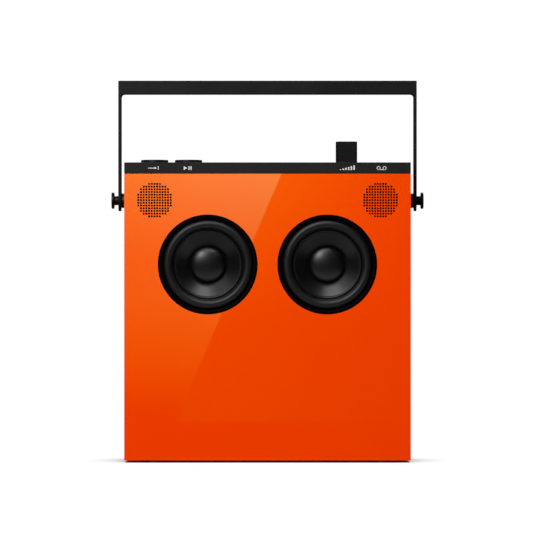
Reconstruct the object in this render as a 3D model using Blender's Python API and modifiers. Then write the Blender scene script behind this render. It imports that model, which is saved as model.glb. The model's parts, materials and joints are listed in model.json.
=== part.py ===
"""A portable loudspeaker: a flat cabinet with two woofers, two tweeters and a swinging handle.

Metres, +Z up. The origin is on the ground under the middle of the cabinet, and the front faces -Y.
Left and right are those of someone who looks at the front: left is -X.
"""

import math

import bpy
import bmesh
from mathutils import Matrix

NAME = "portable_loudspeaker"
GAP = 0.0003  # between pieces that touch
QUARTER = math.pi / 2

# Cabinet
WIDTH, DEPTH, TOP = 0.210, 0.058, 0.220
HALF_WIDTH, HALF_DEPTH = WIDTH / 2, DEPTH / 2
BOTTOM = 0.0016
WALL = 0.003
TOP_PANEL_HEIGHT = 0.008
TOP_PANEL_WALL = 0.0025
TOP_PANEL_BOTTOM = TOP - TOP_PANEL_HEIGHT
PANEL_UNDERSIDE = TOP - TOP_PANEL_WALL
SHELL_TOP = TOP_PANEL_BOTTOM - GAP
BAFFLE_BACK = HALF_DEPTH - WALL
COVER_INSET = 0.0004
COVER_FRONT = HALF_DEPTH - COVER_INSET - WALL

# Feet
FOOT_RADIUS, FOOT_X, FOOT_Y = 0.00825, 0.0828, 0.0200

# Rear cover screws and their posts
SCREW_X, SCREW_LOW, SCREW_HIGH = 0.0972, 0.0125, 0.2000
POST_SIZE, POST_LENGTH = 0.0090, 0.0150
SCREW_HEAD_RADIUS, SCREW_RADIUS, SCREW_LENGTH = 0.0028, 0.0012, 0.0130
SCREW_HEAD_DEPTH = 0.0022

# Woofers. Heights along a driver's axis count forward from the cabinet's middle plane.
WOOFER_X, WOOFER_Z, OPENING_RADIUS = 0.0438, 0.14515, 0.0364
COLLAR_TOP, COLLAR_INNER = 0.0284, 0.0334
FLANGE_RADIUS, FLANGE_TOP = 0.0415, 0.0244
SURROUND_INNER, SURROUND_OUTER, SURROUND_BASE, SURROUND_RISE = 0.0256, 0.0330, 0.0249, 0.0036
SURROUND_SKIN = 0.0006
CONE_OUTER, CONE_INNER, CONE_SKIN = 0.0253, 0.0124, 0.0007
CAP_RADIUS, CAP_BASE, CAP_RISE = 0.0132, 0.0176, 0.0048
COIL_INNER, COIL_OUTER = 0.0115, 0.0121
SPIDER_OUTER, SPIDER_HEIGHT, SPIDER_WAVE = 0.0245, 0.0095, 0.0008

# Tweeters
TWEETER_X, TWEETER_Z = 0.0828, 0.1923
HOLE_PITCH, HOLE_CORNER, HOLE_SIDES = 0.00198, 0.00080, 4
HOLE_REACH = 42  # a hole is kept where its column and row, squared and added, come to this or less

# Handle
PIVOT_Z = 0.1925
HANDLE_TOP, BAR_UNDERSIDE = 0.2810, 0.2713
ARM_OUTER, ARM_THICKNESS, ARM_DEPTH = 0.1103, 0.0020, 0.0156
ARM_INNER = ARM_OUTER - ARM_THICKNESS
HANDLE_FILLET = 0.0024
STUD_RADIUS, STUD_BORE = 0.0025, 0.0029

# Controls
BUTTON_X = {"input": -0.0836, "play": -0.0585}
BUTTON_RADIUS, BUTTON_TOP = 0.0101, 0.2226
VOLUME_X, KNOB_RADIUS, KNOB_TOP = 0.0585, 0.00795, 0.2362
KNOB_FLAT, KNOB_TURN = 0.00475, math.radians(3)
DIAL_X, DIAL_RADIUS = 0.0836, 0.0145
BOARD_TOP = 0.2080

# Connectors
CONNECTOR_Z, JACK_X, USB_X = 0.070, -0.012, 0.010


def new_collection(name, hidden=False):
    collection = bpy.data.collections.new(name)
    bpy.context.scene.collection.children.link(collection)
    collection.hide_render = hidden
    return collection


def clear_scene():
    for obj in list(bpy.data.objects):
        bpy.data.objects.remove(obj)


clear_scene()
PARTS = new_collection(NAME)
CUTTERS = new_collection("cutters", hidden=True)


# Materials


def material(name, colour, roughness, metallic=0.0, coat=0.0):
    made = bpy.data.materials.new(name)
    made.use_nodes = True
    shader = made.node_tree.nodes["Principled BSDF"]
    shader.inputs["Base Color"].default_value = (*colour, 1)
    shader.inputs["Roughness"].default_value = roughness
    shader.inputs["Metallic"].default_value = metallic
    shader.inputs["Coat Weight"].default_value = coat
    made.diffuse_color = (*colour, 1)
    return made


ORANGE = material("gloss_orange", (0.83, 0.05, 0.002), 0.25, coat=1.0)
BLACK_PAINT = material("black_paint", (0.018, 0.018, 0.019), 0.45)
BLACK_PLASTIC = material("black_plastic", (0.012, 0.012, 0.012), 0.5)
CONE_PAPER = material("cone_paper", (0.01, 0.01, 0.01), 0.6)
RUBBER = material("rubber", (0.02, 0.02, 0.02), 0.7)
FOAM = material("foam", (0.03, 0.03, 0.03), 0.9)
CLOTH = material("spider_cloth", (0.55, 0.38, 0.12), 0.9)
STEEL = material("steel", (0.55, 0.55, 0.56), 0.35, metallic=1.0)
FERRITE = material("ferrite", (0.05, 0.05, 0.055), 0.6)
COPPER = material("copper_wire", (0.72, 0.32, 0.14), 0.35, metallic=1.0)
SILK = material("silk_dome", (0.03, 0.03, 0.03), 0.8)
BRASS = material("brass", (0.75, 0.55, 0.22), 0.3, metallic=1.0)
BOARD = material("circuit_board", (0.02, 0.16, 0.05), 0.5)
WRAP = material("battery_wrap", (0.03, 0.09, 0.30), 0.4)


# Shapes


def add(obj, finish, collection=PARTS):
    """Links the object, gives it its material and returns it."""
    collection.objects.link(obj)
    if finish:
        obj.data.materials.append(finish)
    return obj


def mesh_object(name, form):
    """An object from a bmesh, which it frees."""
    mesh = bpy.data.meshes.new(name)
    form.to_mesh(mesh)
    form.free()
    return bpy.data.objects.new(name, mesh)


def block(name, x, y, z, finish=None, collection=PARTS, bevel=0.0, segments=2):
    """A box between two values on each axis, with its origin at its middle."""
    size = [high - low for low, high in (x, y, z)]
    form = bmesh.new()
    bmesh.ops.create_cube(form, size=1, matrix=Matrix.Diagonal((*size, 1)))
    obj = add(mesh_object(name, form), finish, collection)
    obj.location = [(low + high) / 2 for low, high in (x, y, z)]
    if bevel:
        rounding = obj.modifiers.new("edges", "BEVEL")
        rounding.width = bevel
        rounding.segments = segments
    return obj


def turned(name, profile, place, finish, steps=24, loop=False, turn=(0, 0, 0), collection=PARTS):
    """A profile of (radius, height) points, clockwise, turned about the object's Z axis.

    It starts and ends on the axis, or it is a closed loop beside it.
    """
    mesh = bpy.data.meshes.new(name)
    points = [(radius, 0, height) for radius, height in profile]
    edges = [(i, i + 1) for i in range(len(points) - 1)]
    if loop:
        edges.append((len(points) - 1, 0))
    mesh.from_pydata(points, edges, [])
    obj = add(bpy.data.objects.new(name, mesh), finish, collection)
    obj.location = place
    obj.rotation_euler = turn
    screw = obj.modifiers.new("turn", "SCREW")
    screw.steps = screw.render_steps = steps
    screw.use_merge_vertices = True
    screw.merge_threshold = 0.00001
    return obj


FORWARD = (QUARTER, 0, 0)  # turns an object's Z to -Y
BACKWARD = (-QUARTER, 0, 0)  # to +Y
SIDEWAYS = {"left": (0, -QUARTER, 0), "right": (0, QUARTER, 0)}  # outward, to -X or +X
SIDES = {"left": -1, "right": 1}


def rod(name, radius, low, high, place, turn=(0, 0, 0), steps=24, finish=None, collection=CUTTERS):
    """A cylinder along the object's Z axis, between two heights on it."""
    form = bmesh.new()
    middle = Matrix.Translation((0, 0, (low + high) / 2))
    bmesh.ops.create_cone(
        form, cap_ends=True, segments=steps, radius1=radius, radius2=radius, depth=high - low, matrix=middle
    )
    obj = add(mesh_object(name, form), finish, collection)
    obj.location = place
    obj.rotation_euler = turn
    return obj


def plate(name, outlines, thickness, place, turn, finish=None, collection=PARTS):
    """A flat plate from closed outlines, the first the edge and the rest its holes."""
    curve = bpy.data.curves.new(name, "CURVE")
    curve.dimensions = "2D"
    curve.fill_mode = "BOTH"
    curve.extrude = thickness / 2
    for outline in outlines:
        spline = curve.splines.new("POLY")
        spline.points.add(len(outline) - 1)
        for point, (x, y) in zip(spline.points, outline):
            point.co = (x, y, 0, 1)
        spline.use_cyclic_u = True
    drawn = bpy.data.objects.new(name + "_outline", curve)
    bpy.context.scene.collection.objects.link(drawn)
    graph = bpy.context.evaluated_depsgraph_get()
    mesh = bpy.data.meshes.new_from_object(drawn.evaluated_get(graph))
    bpy.data.objects.remove(drawn)
    form = bmesh.new()
    form.from_mesh(mesh)
    bmesh.ops.remove_doubles(form, verts=form.verts, dist=0.000005)
    bmesh.ops.recalc_face_normals(form, faces=form.faces)
    obj = add(mesh_object(name, form), finish, collection)
    bpy.data.meshes.remove(mesh)
    obj.location = place
    obj.rotation_euler = turn
    return obj


def boolean(obj, other, operation):
    """Adds a Boolean, and keeps the other object as a wire helper."""
    for collection in list(other.users_collection):
        collection.objects.unlink(other)
    CUTTERS.objects.link(other)
    other.hide_render = True
    other.display_type = "WIRE"
    step = obj.modifiers.new(other.name, "BOOLEAN")
    step.operation = operation
    step.solver = "EXACT"
    step.object = other
    return obj


def cut(obj, other):
    return boolean(obj, other, "DIFFERENCE")


def fuse(obj, other):
    return boolean(obj, other, "UNION")


def circle(x, y, radius, sides):
    """Points of a regular polygon with a flat side below."""
    start = -QUARTER + math.pi / sides
    angles = [start + 2 * math.pi * i / sides for i in range(sides)]
    return [(x + radius * math.cos(a), y + radius * math.sin(a)) for a in angles]


def arc(x, y, radius, start, end, steps):
    """Points along an arc, its angles in degrees."""
    angles = [math.radians(start + (end - start) * i / steps) for i in range(steps + 1)]
    return [(x + radius * math.cos(a), y + radius * math.sin(a)) for a in angles]


def rounded_rectangle(width, height, radius, steps=3):
    x, y = width / 2 - radius, height / 2 - radius
    corners = ((x, y, 0), (-x, y, 90), (-x, -y, 180), (x, -y, 270))
    return [point for cx, cy, start in corners for point in arc(cx, cy, radius, start, start + 90, steps)]


# Cabinet


def grille_holes(side):
    """The square-pitched holes of one tweeter field, which fill a circle."""
    reach = int(math.sqrt(HOLE_REACH))
    steps = range(-reach, reach + 1)
    return [
        circle(side * TWEETER_X + i * HOLE_PITCH, TWEETER_Z + j * HOLE_PITCH, HOLE_CORNER, HOLE_SIDES)
        for i in steps
        for j in steps
        if i * i + j * j <= HOLE_REACH
    ]


def front_baffle():
    edge = [(-HALF_WIDTH, BOTTOM), (HALF_WIDTH, BOTTOM), (HALF_WIDTH, SHELL_TOP), (-HALF_WIDTH, SHELL_TOP)]
    openings = [circle(side * WOOFER_X, WOOFER_Z, OPENING_RADIUS, 32) for side in SIDES.values()]
    holes = grille_holes(-1) + grille_holes(1)
    middle = -(HALF_DEPTH + BAFFLE_BACK) / 2
    plate("front_baffle", [edge, *openings, *holes], WALL, (0, middle, 0), FORWARD, ORANGE)


def cabinet_shell():
    """The side walls and the floor, with a post for each rear screw and a hole for each pivot."""
    inner, floor = HALF_WIDTH - WALL, BOTTOM + WALL
    outline = [
        (-HALF_WIDTH, BOTTOM),
        (HALF_WIDTH, BOTTOM),
        (HALF_WIDTH, SHELL_TOP),
        (inner, SHELL_TOP),
        (inner, floor),
        (-inner, floor),
        (-inner, SHELL_TOP),
        (-HALF_WIDTH, SHELL_TOP),
    ]
    front, back = -BAFFLE_BACK + GAP, HALF_DEPTH
    shell = plate("cabinet_shell", [outline], back - front, (0, (front + back) / 2, 0), FORWARD, ORANGE)
    post_back = COVER_FRONT - GAP
    for side, sign in SIDES.items():
        for row, z in (("low", SCREW_LOW), ("high", SCREW_HIGH)):
            wall_end = sign * (inner + WALL / 2)
            x = sorted((sign * (SCREW_X - POST_SIZE / 2), wall_end))
            y = (post_back - POST_LENGTH, post_back)
            post = block(f"post_{side}_{row}", x, y, (z - POST_SIZE / 2, z + POST_SIZE / 2))
            fuse(shell, post)
            place = (sign * SCREW_X, post_back, z)
            cut(shell, rod(f"post_bore_{side}_{row}", 0.0015, -0.0125, 0.001, place, BACKWARD, 12))
        near, far = inner - 0.002, HALF_WIDTH + 0.002
        hole = rod(f"pivot_hole_{side}", 0.0048, near, far, (0, 0, PIVOT_Z), SIDEWAYS[side])
        cut(shell, hole)


def rear_cover():
    side = HALF_WIDTH - WALL - GAP
    back = HALF_DEPTH - COVER_INSET
    heights = (BOTTOM + WALL + GAP, SHELL_TOP)
    cover = block("rear_cover", (-side, side), (COVER_FRONT, back), heights, ORANGE)
    for side_name, sign in SIDES.items():
        for row, z in (("low", SCREW_LOW), ("high", SCREW_HIGH)):
            place = (sign * SCREW_X, back, z)
            through = rod(f"cover_hole_{side_name}_{row}", 0.0015, -0.01, 0.01, place, BACKWARD, 12)
            sink = rod(
                f"cover_sink_{side_name}_{row}", 0.0031, -SCREW_HEAD_DEPTH, 0.001, place, BACKWARD, 16
            )
            cut(cut(cover, through), sink)
    heights = (CONNECTOR_Z - 0.0083, CONNECTOR_Z + 0.0083)
    window = block("cover_window", (-0.0243, 0.0243), (0.020, 0.035), heights)
    cut(cover, window)


def rear_screws():
    head_top = -0.0004
    head_base = GAP - SCREW_HEAD_DEPTH
    for side, sign in SIDES.items():
        for row, z in (("low", SCREW_LOW), ("high", SCREW_HIGH)):
            profile = [
                (0, head_top),
                (SCREW_HEAD_RADIUS, head_top),
                (SCREW_HEAD_RADIUS, head_base),
                (SCREW_RADIUS, head_base),
                (SCREW_RADIUS, -SCREW_LENGTH),
                (0, -SCREW_LENGTH),
            ]
            place = (sign * SCREW_X, HALF_DEPTH - COVER_INSET, z)
            turned(f"rear_screw_{side}_{row}", profile, place, STEEL, 12, turn=BACKWARD)


def top_panel():
    """A cap over the whole cabinet, open below, with the holes for the controls."""
    panel = block(
        "top_panel", (-HALF_WIDTH, HALF_WIDTH), (-HALF_DEPTH, HALF_DEPTH), (TOP_PANEL_BOTTOM, TOP), BLACK_PAINT
    )
    x, y = HALF_WIDTH - TOP_PANEL_WALL, HALF_DEPTH - TOP_PANEL_WALL
    cut(panel, block("panel_hollow", (-x, x), (-y, y), (TOP_PANEL_BOTTOM - 0.002, PANEL_UNDERSIDE)))
    holes = [(label + "_well", at, BUTTON_RADIUS + GAP) for label, at in BUTTON_X.items()]
    holes += [("volume_bore", VOLUME_X, 0.0035), ("dial_well", DIAL_X, DIAL_RADIUS + 0.0004)]
    for name, at, radius in holes:
        cut(panel, rod(name, radius, -0.006, 0.002, (at, 0, TOP), steps=32))


def feet():
    for side, sign in SIDES.items():
        for end, y in (("front", -FOOT_Y), ("rear", FOOT_Y)):
            chamfer = 0.0003
            height = BOTTOM - GAP
            profile = [
                (0, height),
                (FOOT_RADIUS, height),
                (FOOT_RADIUS, chamfer),
                (FOOT_RADIUS - chamfer, 0),
                (0, 0),
            ]
            turned(f"foot_{end}_{side}", profile, (sign * FOOT_X, y, 0), RUBBER)


# Drivers


def half_roll(inner, outer, base, rise, steps):
    """Points over a half-round roll, from its inner edge to its outer one."""
    middle, reach = (inner + outer) / 2, (outer - inner) / 2
    angles = [math.pi * (1 - i / steps) for i in range(steps + 1)]
    return [(middle + reach * math.cos(a), base + rise * math.sin(a)) for a in angles]


def dome(radius, base, rise, steps):
    """Points over a dome, from its top to its edge."""
    angles = [QUARTER * (1 - i / steps) for i in range(steps + 1)]
    return [(radius * math.cos(a), base + rise * math.sin(a)) for a in angles]


def shell_profile(upper, skin):
    """A closed profile: the upper points, and the same points lower by the skin, back again."""
    return upper + [(radius, height - skin) for radius, height in reversed(upper)]


def dome_profile(radius, base, rise, skin, steps):
    """An open profile of a hollow dome, which starts and ends on the axis."""
    inner = dome(radius - skin, base, rise - skin, steps)
    return dome(radius, base, rise, steps) + inner[::-1]


def woofer_frame(side, place):
    """The basket: a collar in the baffle's opening, a flange behind it, and a cone with four windows."""
    profile = [
        (COLLAR_INNER, COLLAR_TOP),
        (OPENING_RADIUS - 0.0005, COLLAR_TOP),
        (OPENING_RADIUS - 0.0005, FLANGE_TOP),
        (FLANGE_RADIUS, FLANGE_TOP),
        (FLANGE_RADIUS, 0.0229),
        (0.0365, 0.0229),
        (0.0240, 0.0050),
        (0.0136, 0.0050),
        (0.0136, 0.0065),
        (0.0230, 0.0065),
        (0.0346, 0.0225),
        (COLLAR_INNER, 0.0245),
    ]
    frame = turned(f"woofer_frame_{side}", profile, place, BLACK_PAINT, loop=True, turn=FORWARD)
    x, _, z = place
    for turn in (QUARTER / 2, -QUARTER / 2):
        window = block(f"window_{side}_{turn > 0}", (-0.05, 0.05), (-0.019, -0.009), (-0.009, 0.009))
        window.location = (x, window.location[1], z)
        window.rotation_euler = (0, turn, 0)
        cut(frame, window)


def woofer_motor(side, place):
    """The front plate, the ring magnet, and the yoke with its pole."""
    plate_bottom, magnet_bottom, yoke_bottom = 0.0009, -0.0080, -0.0123
    plate_top = 0.0047
    front_plate = [(0.0127, plate_top), (0.025, plate_top), (0.025, plate_bottom), (0.0127, plate_bottom)]
    magnet_top = plate_bottom - GAP
    magnet = [(0.0145, magnet_top), (0.028, magnet_top), (0.028, magnet_bottom), (0.0145, magnet_bottom)]
    yoke_top = magnet_bottom - GAP
    yoke = [
        (0, plate_top),
        (0.0109, plate_top),
        (0.0109, yoke_top),
        (0.025, yoke_top),
        (0.025, yoke_bottom),
        (0, yoke_bottom),
    ]
    turned(f"magnet_plate_{side}", front_plate, place, STEEL, loop=True, turn=FORWARD)
    turned(f"magnet_ring_{side}", magnet, place, FERRITE, loop=True, turn=FORWARD)
    turned(f"magnet_yoke_{side}", yoke, place, STEEL, turn=FORWARD)


def woofer_moving(side, place):
    """The cone, its dust cap and the voice coil, which travel together."""
    upper = [(CONE_INNER, 0.0166), (0.0180, 0.0197), (CONE_OUTER, SURROUND_BASE)]
    turned(f"woofer_cone_{side}", shell_profile(upper, CONE_SKIN), place, CONE_PAPER, loop=True, turn=FORWARD)
    cap = dome_profile(CAP_RADIUS, CAP_BASE, CAP_RISE, 0.0006, 4)
    turned(f"dust_cap_{side}", cap, place, CONE_PAPER, 20, turn=FORWARD)
    top, bottom = 0.0168, -0.0010
    coil = [(COIL_INNER, top), (COIL_OUTER, top), (COIL_OUTER, bottom), (COIL_INNER, bottom)]
    turned(f"voice_coil_{side}", coil, place, COPPER, 16, loop=True, turn=FORWARD)


def woofer_suspension(side, place):
    """The rubber surround at the cone's edge and the cloth spider at its neck."""
    roll = half_roll(SURROUND_INNER, SURROUND_OUTER, SURROUND_BASE, SURROUND_RISE, 5)
    turned(f"surround_{side}", shell_profile(roll, SURROUND_SKIN), place, RUBBER, loop=True, turn=FORWARD)
    inner = COIL_OUTER + GAP
    count = 6
    waves = [
        (inner + (SPIDER_OUTER - inner) * i / count, SPIDER_HEIGHT + SPIDER_WAVE * math.sin(QUARTER * i))
        for i in range(count + 1)
    ]
    turned(f"spider_{side}", shell_profile(waves, 0.0005), place, CLOTH, 20, loop=True, turn=FORWARD)


def woofer_gasket(side, place):
    bottom, top = FLANGE_TOP + GAP, BAFFLE_BACK - GAP
    inner = OPENING_RADIUS + GAP
    profile = [(inner, top), (FLANGE_RADIUS, top), (FLANGE_RADIUS, bottom), (inner, bottom)]
    turned(f"gasket_{side}", profile, place, FOAM, loop=True, turn=FORWARD)


def tweeter(side, place):
    front = BAFFLE_BACK - GAP
    housing = [
        (0, 0.0200),
        (0.0084, 0.0200),
        (0.0108, front),
        (0.0134, front),
        (0.0134, 0.0185),
        (0.0105, 0.0185),
        (0.0105, 0.0100),
        (0, 0.0100),
    ]
    turned(f"tweeter_housing_{side}", housing, place, BLACK_PLASTIC, 16, turn=FORWARD)
    cap = dome_profile(0.0080, 0.0203, 0.0032, 0.0005, 3)
    turned(f"tweeter_dome_{side}", cap, place, SILK, 16, turn=FORWARD)


def drivers():
    for side, sign in SIDES.items():
        place = (sign * WOOFER_X, 0, WOOFER_Z)
        woofer_frame(side, place)
        woofer_gasket(side, place)
        woofer_motor(side, place)
        woofer_moving(side, place)
        woofer_suspension(side, place)
        tweeter(side, (sign * TWEETER_X, 0, TWEETER_Z))


# Handle


def handle():
    """A U of one piece: a bar between two thin arms, whose lower ends are round about the pivot."""
    low = -0.0100
    top, underside = HANDLE_TOP - PIVOT_Z, BAR_UNDERSIDE - PIVOT_Z
    x, z = ARM_INNER - HANDLE_FILLET, underside - HANDLE_FILLET
    outline = [
        (-ARM_OUTER, low),
        (-ARM_INNER, low),
        *arc(-x, z, HANDLE_FILLET, 180, 90, 3),
        *arc(x, z, HANDLE_FILLET, 90, 0, 3),
        (ARM_INNER, low),
        (ARM_OUTER, low),
        (ARM_OUTER, top),
        (-ARM_OUTER, top),
    ]
    place = (0, 0, PIVOT_Z)
    frame = plate("handle", [outline], ARM_DEPTH + 0.002, place, FORWARD, BLACK_PAINT)
    half = ARM_DEPTH / 2
    side_view = [*arc(0, 0, half, 180, 360, 12), (half, 0.12), (-half, 0.12)]
    boolean(frame, plate("handle_side_view", [side_view], 0.26, place, (QUARTER, 0, QUARTER)), "INTERSECT")
    cut(frame, rod("handle_pivot_hole", STUD_BORE, -0.13, 0.13, place, SIDEWAYS["right"], 16))


def pivots():
    """On each side: the insert in the wall, the spacer washer, and the thumb knob with its stud."""
    place = (0, 0, PIVOT_Z)
    inner_face = HALF_WIDTH - WALL - GAP
    for side, turn in SIDEWAYS.items():
        insert = [
            (STUD_BORE, HALF_WIDTH - 0.0004),
            (0.0045, HALF_WIDTH - 0.0004),
            (0.0045, inner_face),
            (0.0070, inner_face),
            (0.0070, inner_face - 0.0015),
            (STUD_BORE, inner_face - 0.0015),
        ]
        turned(f"pivot_insert_{side}", insert, place, BRASS, 16, loop=True, turn=turn)
        inner, outer = HALF_WIDTH + GAP, ARM_INNER - GAP
        washer = [(STUD_BORE, outer), (0.00545, outer), (0.00545, inner), (STUD_BORE, inner)]
        turned(f"spacer_washer_{side}", washer, place, BLACK_PLASTIC, 20, loop=True, turn=turn)
        neck = ARM_OUTER + GAP
        knob = [
            (0, 0.1155),
            (0.0053, 0.1155),
            (0.0061, 0.1149),
            (0.0061, 0.1141),
            (0.0055, 0.11345),
            (0.0034, 0.11345),
            (0.0034, neck),
            (STUD_RADIUS, neck),
            (STUD_RADIUS, 0.0975),
            (0, 0.0975),
        ]
        turned(f"thumb_knob_{side}", knob, place, BLACK_PAINT, 20, turn=turn)


# Controls


def buttons():
    """Each button's cap, with a flange that stops under the panel and a plunger over its switch."""
    chamfer = 0.0004
    flange_top = PANEL_UNDERSIDE - GAP
    for label, x in BUTTON_X.items():
        profile = [
            (0, BUTTON_TOP),
            (BUTTON_RADIUS - chamfer, BUTTON_TOP),
            (BUTTON_RADIUS, BUTTON_TOP - chamfer),
            (BUTTON_RADIUS, flange_top),
            (0.0116, flange_top),
            (0.0116, 0.2158),
            (0.0022, 0.2158),
            (0.0022, 0.2122),
            (0, 0.2122),
        ]
        turned(f"{label}_button", profile, (x, 0, 0), BLACK_PLASTIC)
        half = 0.005
        heights = (BOARD_TOP + GAP, 0.2107)
        block(f"{label}_switch", (x - half, x + half), (-half, half), heights, BLACK_PLASTIC)


def volume_control():
    place = (VOLUME_X, 0, 0)
    chamfer, bottom, bore_top = 0.0003, TOP + GAP, 0.2313
    profile = [
        (0, KNOB_TOP),
        (KNOB_RADIUS - chamfer, KNOB_TOP),
        (KNOB_RADIUS, KNOB_TOP - chamfer),
        (KNOB_RADIUS, bottom),
        (0.0033, bottom),
        (0.0033, bore_top),
        (0, bore_top),
    ]
    knob = turned("volume_knob", profile, place, BLACK_PLASTIC, 32)
    reach = 0.02
    flat = block("knob_flat", (-reach, reach), (-KNOB_FLAT - reach, -KNOB_FLAT), (0.21, 0.24))
    flat.data.transform(Matrix.Translation(flat.location))
    flat.location = place
    flat.rotation_euler = (0, 0, KNOB_TURN)
    cut(knob, flat)
    shaft = [(0, bore_top - GAP), (0.0030, bore_top - GAP), (0.0030, 0.2103), (0, 0.2103)]
    turned("volume_shaft", shaft, place, STEEL, 16)
    encoder = [
        (0, 0.2100),
        (0.0034, 0.2100),
        (0.0034, 0.2169),
        (0.0046, 0.2169),
        (0.0046, 0.2135),
        (0.0070, 0.2135),
        (0.0070, BOARD_TOP + GAP),
        (0, BOARD_TOP + GAP),
    ]
    turned("volume_encoder", encoder, place, STEEL, 16)


def tape_dial():
    """The flush dial, its spindle, and the motor that turns it."""
    place = (DIAL_X, 0, 0)
    underside, bore_top, bore = 0.2172, 0.2189, 0.0023
    disc = [(0, TOP), (DIAL_RADIUS, TOP), (DIAL_RADIUS, underside)]
    dial = [*disc, (bore, underside), (bore, bore_top), (0, bore_top)]
    turned("tape_dial", dial, place, BLACK_PLASTIC, 32)
    spindle_top, spindle_bottom = bore_top - GAP, 0.2098
    spindle = [(0, spindle_top), (0.0020, spindle_top), (0.0020, spindle_bottom), (0, spindle_bottom)]
    turned("dial_spindle", spindle, place, STEEL, 12)
    motor_top = 0.2139
    motor_bottom = BOARD_TOP + GAP
    hub = [(0, 0.2095), (bore, 0.2095), (bore, motor_top)]
    motor = [*hub, (0.011, motor_top), (0.011, motor_bottom), (0, motor_bottom)]
    turned("dial_motor", motor, place, STEEL, 20)


# Inside


def boards():
    block("control_board", (-0.090, 0.096), (-0.018, 0.018), (BOARD_TOP - 0.0016, BOARD_TOP), BOARD)
    block("main_board", (-0.060, 0.060), (0.0150, 0.0166), (0.056, 0.114), BOARD)


def battery():
    half_x, half_y, low, high = 0.072, 0.012, 0.0080, 0.0500
    block("battery_pack", (-half_x, half_x), (-half_y, half_y), (low, high), WRAP, bevel=0.004)
    inner, strap = half_y + GAP, 0.0012
    outer, foot = inner + strap, inner + 0.008
    floor = BOTTOM + WALL + GAP
    top = high + GAP
    outline = [
        (inner, floor),
        (foot, floor),
        (foot, floor + strap),
        (outer, floor + strap),
        (outer, top + strap),
        (-outer, top + strap),
        (-outer, floor + strap),
        (-foot, floor + strap),
        (-foot, floor),
        (-inner, floor),
        (-inner, top),
        (inner, top),
    ]
    plate("battery_bracket", [outline], 0.016, (0, 0, 0), (QUARTER, 0, QUARTER), STEEL)


def connectors():
    """A small black plate in the rear cover's window, and the two sockets that open through it."""
    z, board = CONNECTOR_Z, 0.0169
    back = HALF_DEPTH - 0.0009
    surround = block("connector_plate", (-0.024, 0.024), (0.0242, back), (z - 0.008, z + 0.008), BLACK_PLASTIC)
    flange = block("connector_flange", (-0.027, 0.027), (0.0238, COVER_FRONT - GAP), (z - 0.0105, z + 0.0105))
    fuse(surround, flange)
    cut(surround, rod("jack_window", 0.0034, 0.02, 0.03, (JACK_X, 0, z), BACKWARD, 16))
    usb_window = plate(
        "usb_window", [rounded_rectangle(0.0098, 0.0040, 0.0018)], 0.02, (USB_X, 0.025, z), FORWARD
    )
    cut(surround, usb_window)

    sides, heights = (JACK_X - 0.004, JACK_X + 0.004), (z - 0.004, z + 0.004)
    jack = block("line_in_jack", sides, (board, 0.0235), heights, BLACK_PLASTIC)
    fuse(jack, rod("jack_collar", 0.0030, 0.020, back - GAP, (JACK_X, 0, z), BACKWARD, 16))
    cut(jack, rod("jack_bore", 0.0018, 0.018, 0.03, (JACK_X, 0, z), BACKWARD, 12))

    front, end = board, back - GAP
    socket = plate(
        "usb_c_socket",
        [rounded_rectangle(0.0090, 0.0032, 0.0015)],
        end - front,
        (USB_X, (front + end) / 2, z),
        FORWARD,
        STEEL,
    )
    hollow = plate(
        "usb_hollow", [rounded_rectangle(0.0083, 0.0025, 0.0012)], 0.02, (USB_X, 0.0305, z), FORWARD
    )
    cut(socket, hollow)
    sides, heights = (USB_X - 0.0033, USB_X + 0.0033), (z - 0.00035, z + 0.00035)
    tongue = block("usb_tongue", sides, (0.0200, 0.0268), heights)
    fuse(socket, tongue)


front_baffle()
cabinet_shell()
rear_cover()
rear_screws()
top_panel()
feet()
drivers()
handle()
pivots()
buttons()
volume_control()
tape_dial()
boards()
battery()
connectors()
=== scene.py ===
import json
import math

import bmesh
import bpy
from mathutils import Matrix, Vector

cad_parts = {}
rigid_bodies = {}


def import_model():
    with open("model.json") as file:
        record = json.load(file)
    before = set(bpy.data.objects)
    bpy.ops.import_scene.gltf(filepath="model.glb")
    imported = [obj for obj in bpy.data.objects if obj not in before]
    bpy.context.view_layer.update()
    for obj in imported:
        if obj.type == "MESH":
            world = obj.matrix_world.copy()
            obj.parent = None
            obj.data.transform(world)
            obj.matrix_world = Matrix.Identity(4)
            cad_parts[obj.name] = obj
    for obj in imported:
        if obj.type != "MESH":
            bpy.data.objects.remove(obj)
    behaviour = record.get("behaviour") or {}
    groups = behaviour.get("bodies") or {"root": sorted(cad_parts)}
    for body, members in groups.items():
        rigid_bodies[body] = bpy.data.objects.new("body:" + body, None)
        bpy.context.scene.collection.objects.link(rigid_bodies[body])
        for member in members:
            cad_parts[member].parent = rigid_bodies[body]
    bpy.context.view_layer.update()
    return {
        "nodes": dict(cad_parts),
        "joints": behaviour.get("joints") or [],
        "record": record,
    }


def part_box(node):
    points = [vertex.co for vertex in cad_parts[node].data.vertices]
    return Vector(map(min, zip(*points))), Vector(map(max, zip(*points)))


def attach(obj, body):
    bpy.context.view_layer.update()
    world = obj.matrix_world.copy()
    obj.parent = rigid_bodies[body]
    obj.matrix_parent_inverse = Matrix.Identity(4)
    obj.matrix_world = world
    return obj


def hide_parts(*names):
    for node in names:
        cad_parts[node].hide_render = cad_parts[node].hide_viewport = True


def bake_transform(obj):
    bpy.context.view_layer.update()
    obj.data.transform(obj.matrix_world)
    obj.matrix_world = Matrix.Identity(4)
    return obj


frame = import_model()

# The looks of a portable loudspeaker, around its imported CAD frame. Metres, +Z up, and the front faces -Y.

QUARTER = math.pi / 2
FULL_TURN = 2 * math.pi
X_AXIS, Y_AXIS, Z_AXIS = Vector((1, 0, 0)), Vector((0, 1, 0)), Vector((0, 0, 1))
FORWARD = -Y_AXIS
SIDES = {"left": -1, "right": 1}
BODY = "cabinet"


# Places, read from the frame


def middle(node):
    low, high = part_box(node)
    return (low + high) / 2


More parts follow.
